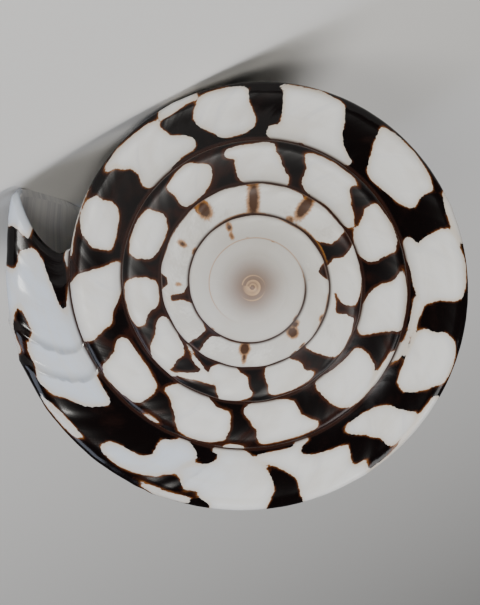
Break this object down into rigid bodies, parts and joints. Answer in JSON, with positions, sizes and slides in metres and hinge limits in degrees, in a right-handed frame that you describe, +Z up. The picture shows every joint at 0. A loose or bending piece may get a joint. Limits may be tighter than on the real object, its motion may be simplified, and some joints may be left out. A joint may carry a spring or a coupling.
{
  "type": "cone shell",
  "caption": "Marbled cone sea shell lying with its slit down: low stepped spire, rounded shoulder, tapering flank and a long narrow slit beside a thin outer lip.",
  "frame": {"origin": "centre of the bounding box on the plane that the shell lies on", "axes": "+Z up, the siphonal tip towards +Y, the spire towards -Y and raised, the slit down and the lip towards +X"},
  "size_m": [0.0394, 0.0684, 0.0357],
  "materials": {
    "marbled_shell": "glossy porcelain-like shell, black-brown with white blotches"
  },
  "bodies": {
    "root": {"cone_shell": "marbled_shell"}
  },
  "joints": []
}
